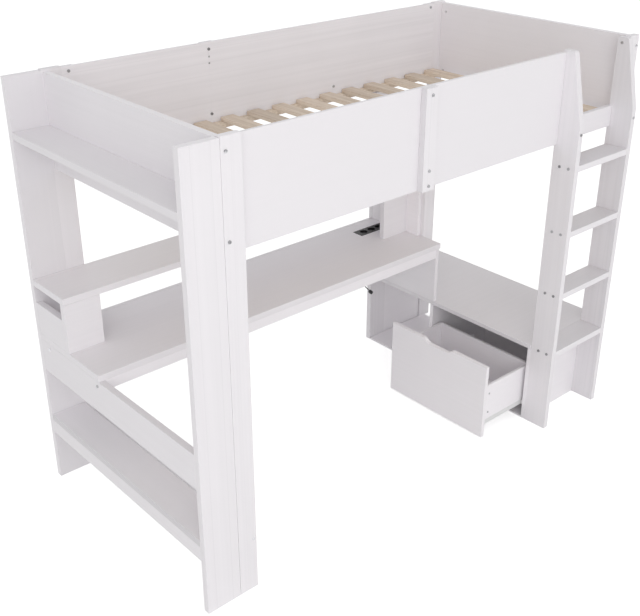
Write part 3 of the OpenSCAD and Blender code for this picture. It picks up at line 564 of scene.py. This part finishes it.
def pine_material():
    """Colour is the ramp over a noise stretched along the slat, times the slat's own tone."""
    material, tree, shader = new_material("planed_pine")
    place = add(tree, "ShaderNodeTexCoord")
    split = add(tree, "ShaderNodeSeparateXYZ")
    tree.links.new(place.outputs["Object"], split.inputs[0])
    shifted = math_node(tree, "ADD", split.outputs["X"], SLAT_SHIFT)
    seed = add(tree, "ShaderNodeTexWhiteNoise", noise_dimensions="1D",
               W=math_node(tree, "SNAP", shifted, SLAT_PITCH))
    stretch = add(tree, "ShaderNodeMapping", Vector=place.outputs["Object"],
                  Scale=GRAIN_STRETCH)
    offset = add(tree, "ShaderNodeVectorMath", operation="MULTIPLY_ADD")
    tree.links.new(seed.outputs["Color"], offset.inputs[0])
    offset.inputs[1].default_value = (SEED_SPREAD, SEED_SPREAD, SEED_SPREAD)
    tree.links.new(stretch.outputs[0], offset.inputs[2])
    grain = add(tree, "ShaderNodeTexNoise", Vector=offset.outputs[0], Scale=1.0, Detail=5.0,
                Distortion=0.4)
    ramp = add(tree, "ShaderNodeValToRGB", Fac=grain.outputs["Fac"])
    for stop, wood in zip(ramp.color_ramp.elements, (DARK_WOOD, PALE_WOOD)):
        stop.position, stop.color = wood
    tone = add(tree, "ShaderNodeMapRange", Value=seed.outputs["Value"], To_Min=SLAT_TONES[0],
               To_Max=SLAT_TONES[1])
    scaled = scaled_colour(tree, ramp.outputs["Color"], tone.outputs["Result"])
    bump = add(tree, "ShaderNodeBump", Strength=0.3, Distance=0.0004,
               Height=grain.outputs["Fac"])
    tree.links.new(scaled, shader.inputs["Base Color"])
    tree.links.new(bump.outputs["Normal"], shader.inputs["Normal"])
    shader.inputs["Roughness"].default_value = 0.62
    return material


planed_pine = pine_material()
PINE_EDGES = {"slats": 0.002, "slat_ledges": 0.001}
for name, width in PINE_EDGES.items():
    strip = eased(name, "bed", width)
    dress(strip, planed_pine)
print("pine pieces:", list(PINE_EDGES))

# %% [markdown]
# ## Metal and plastic
# Five small finishes are left. The bolts and screws are dark oxide steel. The barrel nuts
# are zinc plated. The drawer runners are powder coated white. The power strip is fine matt
# black moulding, and its lead has a smoother sheath. All of them have a fine speckle, which
# moves the colour and the roughness a little, so the speckle is a group as well.

# %% The speckle group
SPECKLE, ROUGH_SWING = 0.1, 0.05  # how far the noise moves the colour and the roughness


def speckle_group():
    """Colour is Tone * (1 + SPECKLE * s) and Roughness is Rough + ROUGH_SWING * s, where s is
    a noise of the place times Fineness, from -1 to 1. Height is the noise itself."""
    tree = bpy.data.node_groups.new("speckle", "ShaderNodeTree")
    socket(tree, "Vector", "NodeSocketVector", "INPUT")
    socket(tree, "Tone", "NodeSocketColor", "INPUT", (0.8, 0.8, 0.8, 1))
    socket(tree, "Rough", "NodeSocketFloat", "INPUT", 0.5)
    socket(tree, "Fineness", "NodeSocketFloat", "INPUT", 900.0)
    socket(tree, "Color", "NodeSocketColor", "OUTPUT")
    socket(tree, "Roughness", "NodeSocketFloat", "OUTPUT")
    socket(tree, "Height", "NodeSocketFloat", "OUTPUT")
    inside, outside = tree.nodes.new("NodeGroupInput"), tree.nodes.new("NodeGroupOutput")
    ins = inside.outputs
    noise = add(tree, "ShaderNodeTexNoise", Vector=ins["Vector"], Scale=ins["Fineness"],
                Detail=2.0).outputs["Fac"]
    tint = add(tree, "ShaderNodeMapRange", Value=noise, To_Min=1.0 - SPECKLE,
               To_Max=1.0 + SPECKLE).outputs["Result"]
    swing = add(tree, "ShaderNodeMapRange", Value=noise, To_Min=-ROUGH_SWING,
                To_Max=ROUGH_SWING).outputs["Result"]
    tree.links.new(scaled_colour(tree, ins["Tone"], tint), outside.inputs["Color"])
    tree.links.new(math_node(tree, "ADD", ins["Rough"], swing), outside.inputs["Roughness"])
    tree.links.new(noise, outside.inputs["Height"])
    return tree


SPECKLED = speckle_group()
print("speckle group:", [s.name for s in SPECKLED.interface.items_tree])

# %% [markdown]
# The bolts share one mesh, but no two catch the light alike, so each gets a random number
# from the cell of space that it stands in. The low ones at the left end and the two screws
# of the back seam are paler than the rest.

# %% Small finishes
BOLT_CELL = 0.07                   # the edge of a cell of space, in metres
BOLT_TONES = 0.7, 1.35             # the darkest and the lightest bolt
PALER = 1.6                        # what the paler ones' tone is multiplied by
PALER_X, PALER_Z = -0.80, 0.75     # metres: the low left bolts are left of and below these
SEAM_Z, SEAM_REACH = 1.526, 0.019  # metres: the seam screws' height, and half a band there


def plain(name, colour, roughness, metallic=0.0, fineness=900.0):
    """One colour with the speckle over it."""
    material, tree, shader = new_material(name)
    place = add(tree, "ShaderNodeTexCoord")
    group = tree.nodes.new("ShaderNodeGroup")
    group.node_tree = SPECKLED
    tree.links.new(place.outputs["Object"], group.inputs["Vector"])
    for key, value in (("Tone", (*colour, 1.0)), ("Rough", roughness),
                       ("Fineness", fineness)):
        group.inputs[key].default_value = value
    height = add(tree, "ShaderNodeBump", Strength=0.1, Distance=0.0002,
                 Height=group.outputs["Height"])
    tree.links.new(group.outputs["Color"], shader.inputs["Base Color"])
    tree.links.new(group.outputs["Roughness"], shader.inputs["Roughness"])
    tree.links.new(height.outputs["Normal"], shader.inputs["Normal"])
    shader.inputs["Metallic"].default_value = metallic
    return material


def each_its_own(material):
    """Scales a material's colour by a random number for each cell of space, and by PALER
    where the place is low at the left end or on the back seam."""
    tree = material.node_tree
    shader = tree.nodes["Principled BSDF"]
    before = shader.inputs["Base Color"].links[0].from_socket
    place = add(tree, "ShaderNodeTexCoord")
    snapped = add(tree, "ShaderNodeVectorMath", operation="SNAP")
    tree.links.new(place.outputs["Object"], snapped.inputs[0])
    snapped.inputs[1].default_value = (BOLT_CELL, BOLT_CELL, BOLT_CELL)
    seed = add(tree, "ShaderNodeTexWhiteNoise", Vector=snapped.outputs[0])
    factor = add(tree, "ShaderNodeMapRange", Value=seed.outputs["Value"],
                 To_Min=BOLT_TONES[0], To_Max=BOLT_TONES[1])
    split = add(tree, "ShaderNodeSeparateXYZ")
    tree.links.new(place.outputs["Object"], split.inputs[0])
    low_left = math_node(tree, "MULTIPLY",
                         math_node(tree, "LESS_THAN", split.outputs["X"], PALER_X),
                         math_node(tree, "LESS_THAN", split.outputs["Z"], PALER_Z))
    from_seam = math_node(tree, "ABSOLUTE",
                          math_node(tree, "SUBTRACT", split.outputs["Z"], SEAM_Z))
    at_seam = math_node(tree, "LESS_THAN", from_seam, SEAM_REACH)
    paler = add(tree, "ShaderNodeMapRange", To_Min=1.0, To_Max=PALER,
                Value=math_node(tree, "MAXIMUM", low_left, at_seam))
    scale = math_node(tree, "MULTIPLY", factor.outputs["Result"], paler.outputs["Result"])
    tree.links.new(scaled_colour(tree, before, scale), shader.inputs["Base Color"])
    return material


finishes = {
    "dark_oxide": each_its_own(plain("dark_oxide", (0.40, 0.40, 0.41), 0.38, metallic=1.0)),
    "zinc_plate": plain("zinc_plate", (0.55, 0.55, 0.53), 0.35, metallic=1.0),
    "white_powder": plain("white_powder", (0.78, 0.78, 0.78), 0.5, fineness=1500.0),
    "black_moulding": plain("black_moulding", (0.012, 0.012, 0.013), 0.45, fineness=1200.0),
    "black_sheath": plain("black_sheath", (0.015, 0.015, 0.016), 0.5, fineness=600.0),
}
dressing = {"frame_bolts": "dark_oxide", "drawer_screws": "dark_oxide",
            "barrel_nuts": "zinc_plate", "cabinet_runners": "white_powder",
            "drawer_runners": "white_powder", "power_strip_body": "black_moulding",
            "power_strip_sockets": "black_moulding"}
for name, finish in dressing.items():
    dress(frame["nodes"][name], finishes[finish])
for piece in (lead, connector):
    dress(piece, finishes["black_sheath"])
print("finishes:", sorted(finishes))

# %% [markdown]
# ## The floor
# The picture stands on white with hardly a shadow, as a cut-out does. The floor is pale, and
# only for rays that look it also glows a little, which turns its lit parts to white and
# keeps the shadow close under the boards.

# %% Floor
FLOOR_GLOW = 0.6    # the strength that rays that look see on top of the floor's own light
FLOOR_REACH = 40.0  # metres from the middle to each side


def looking_ray(tree):
    """1 for a ray that looks (from the camera, a glossy or a clear surface), 0 for light."""
    path = add(tree, "ShaderNodeLightPath")
    found = path.outputs["Is Camera Ray"]
    for name in ("Is Glossy Ray", "Is Transmission Ray"):
        found = math_node(tree, "MAXIMUM", found, path.outputs[name])
    return found


def floor_material():
    """Pale and matt, with FLOOR_GLOW of white light for rays that look."""
    material, tree, shader = new_material("studio_floor")
    glow = math_node(tree, "MULTIPLY", looking_ray(tree), FLOOR_GLOW)
    shader.inputs["Base Color"].default_value = (0.85, 0.85, 0.85, 1)
    shader.inputs["Roughness"].default_value = 0.9
    shader.inputs["Emission Color"].default_value = (1, 1, 1, 1)
    tree.links.new(glow, shader.inputs["Emission Strength"])
    return material


corners = np.array([(-1, -1, 0), (1, -1, 0), (1, 1, 0), (-1, 1, 0)], float) * FLOOR_REACH
floor_mesh = bpy.data.meshes.new("studio_floor")
floor_mesh.from_pydata(corners, [], [(0, 1, 2, 3)])
floor_mesh.materials.append(floor_material())
floor = bpy.data.objects.new("studio_floor", floor_mesh)
scene.collection.objects.link(floor)
print("floor:", 2 * FLOOR_REACH, "m wide")

# %% [markdown]
# ## World and lamps
# The light comes from the front and left and from low down, so front faces are brightest
# and tops are the darkest of the faces that show. Three big square lamps give it, and a dim
# white world fills the shade between the boards. Rays that look see the world as white.

# %% World and lamps
WORLD_LIGHT = 0.60   # the world's strength as light
LAMP_DISTANCE = 9.0  # metres
LAMP_SIZE = 6.0      # metres
AIM_HEIGHT = 0.8     # the height on the bed that the lamps look at, in metres
world = bpy.data.worlds.new("studio_world")
world.use_nodes = True
scene.world = world
tree = world.node_tree
background = tree.nodes["Background"]
strength = add(tree, "ShaderNodeMapRange", Value=looking_ray(tree), To_Min=WORLD_LIGHT,
               To_Max=1.0)
tree.links.new(strength.outputs["Result"], background.inputs["Strength"])
background.inputs["Color"].default_value = (1, 1, 1, 1)


def softbox(name, direction, power):
    """A square lamp in that direction from the bed's middle, looking back at it."""
    data = bpy.data.lights.new(name, "AREA")
    data.shape, data.size, data.energy = "SQUARE", LAMP_SIZE, power
    lamp = bpy.data.objects.new(name, data)
    away = np.array(direction, float) / np.linalg.norm(direction)
    lamp.location = away * LAMP_DISTANCE + np.array((0.0, 0.0, AIM_HEIGHT))
    angle = math.atan2(away[1], away[0])
    lamp.rotation_euler = (math.acos(away[2]), 0.0, angle + math.pi / 2)
    scene.collection.objects.link(lamp)


softbox("front_box", (-0.45, -0.85, 0.30), 88.0)
softbox("camera_box", (-0.63, -0.66, 0.41), 137.0)
softbox("right_box", (0.30, -0.90, 0.30), 70.0)
scene.view_settings.view_transform = "Standard"
